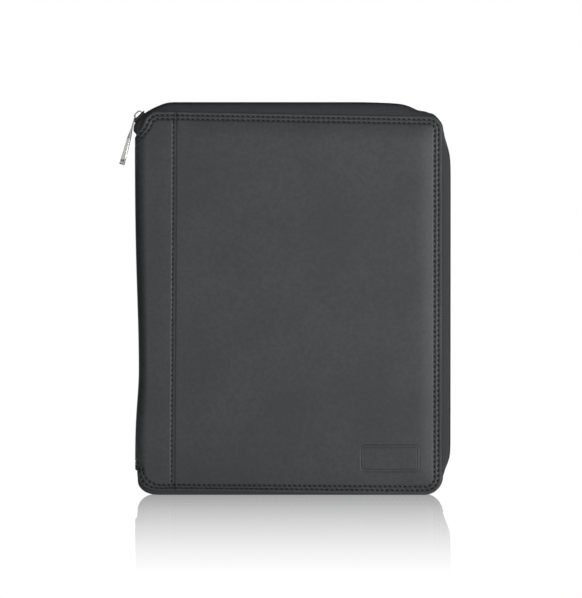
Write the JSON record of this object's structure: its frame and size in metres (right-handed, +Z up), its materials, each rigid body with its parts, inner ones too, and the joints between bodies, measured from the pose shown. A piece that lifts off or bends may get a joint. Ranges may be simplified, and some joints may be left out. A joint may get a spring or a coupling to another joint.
{
  "type": "zip-around document folder",
  "caption": "A4 zip-around leather document folder with padded covers, a folding spine, a zip slider with a swinging metal pull, and pockets inside.",
  "frame": {"origin": "on the ground under the middle of the folder with its pull, as it stands on its lower zip edge", "axes": "+Z up, +X from the spine to the free edge, front cover towards -Y"},
  "size_m": [0.2876, 0.026, 0.3394],
  "materials": {
    "leather": "matte waxed, smooth",
    "loop_leather": "matte",
    "pocket_suede": "matte, fine nap",
    "foam": "open cell foam",
    "board": "grey board",
    "lining": "woven",
    "tape": "ribbed woven tape",
    "coil": "satin",
    "dark_metal": "satin black",
    "silver_metal": "polished nickel"
  },
  "bodies": {
    "back_cover": {"back_panel_leather": "leather", "back_band_leather": "leather", "back_padding": "foam", "back_board": "board", "back_lining": "lining", "back_zip_tape": "tape", "back_zip_coil": "coil", "pad_panel": "pocket_suede", "pen_loop": "loop_leather"},
    "spine": {"spine_leather": "leather", "spine_stiffener": "board", "spine_lining": "lining", "zip_tape_end_top": "tape", "zip_tape_end_low": "tape", "front_coil_end_top": "coil", "back_coil_end_top": "coil", "front_coil_end_low": "coil", "back_coil_end_low": "coil"},
    "front_cover": {"front_panel_leather": "leather", "front_band_leather": "leather", "front_padding": "foam", "front_board": "board", "front_lining": "lining", "front_zip_tape": "tape", "front_zip_coil": "coil", "document_pocket": "pocket_suede", "card_pocket_1": "pocket_suede", "card_pocket_2": "pocket_suede", "card_pocket_3": "pocket_suede"},
    "slider": {"slider_body": "dark_metal", "slider_bail": "silver_metal"},
    "pull": {"pull_tab": "silver_metal"}
  },
  "joints": [
    {"name": "spine_fold", "type": "hinge", "parent": "back_cover", "child": "spine", "pos_m": [-0.12594, 0.013, 0.165], "axis": [0, 0, -1], "range_deg": [0, 90]},
    {"name": "front_fold", "type": "hinge", "parent": "spine", "child": "front_cover", "pos_m": [-0.12594, -0.013, 0.165], "axis": [0, 0, -1], "range_deg": [0, 90]},
    {"name": "slider_travel", "type": "hinge", "parent": "spine", "child": "slider", "pos_m": [-0.09704, 0, 0.2979], "axis": [0, 1, 0], "range_deg": [0, 6]},
    {"name": "pull_swing", "type": "hinge", "parent": "slider", "child": "pull", "pos_m": [-0.12962, 0, 0.3286], "axis": [0, 1, 0], "range_deg": [0, 150]}
  ]
}
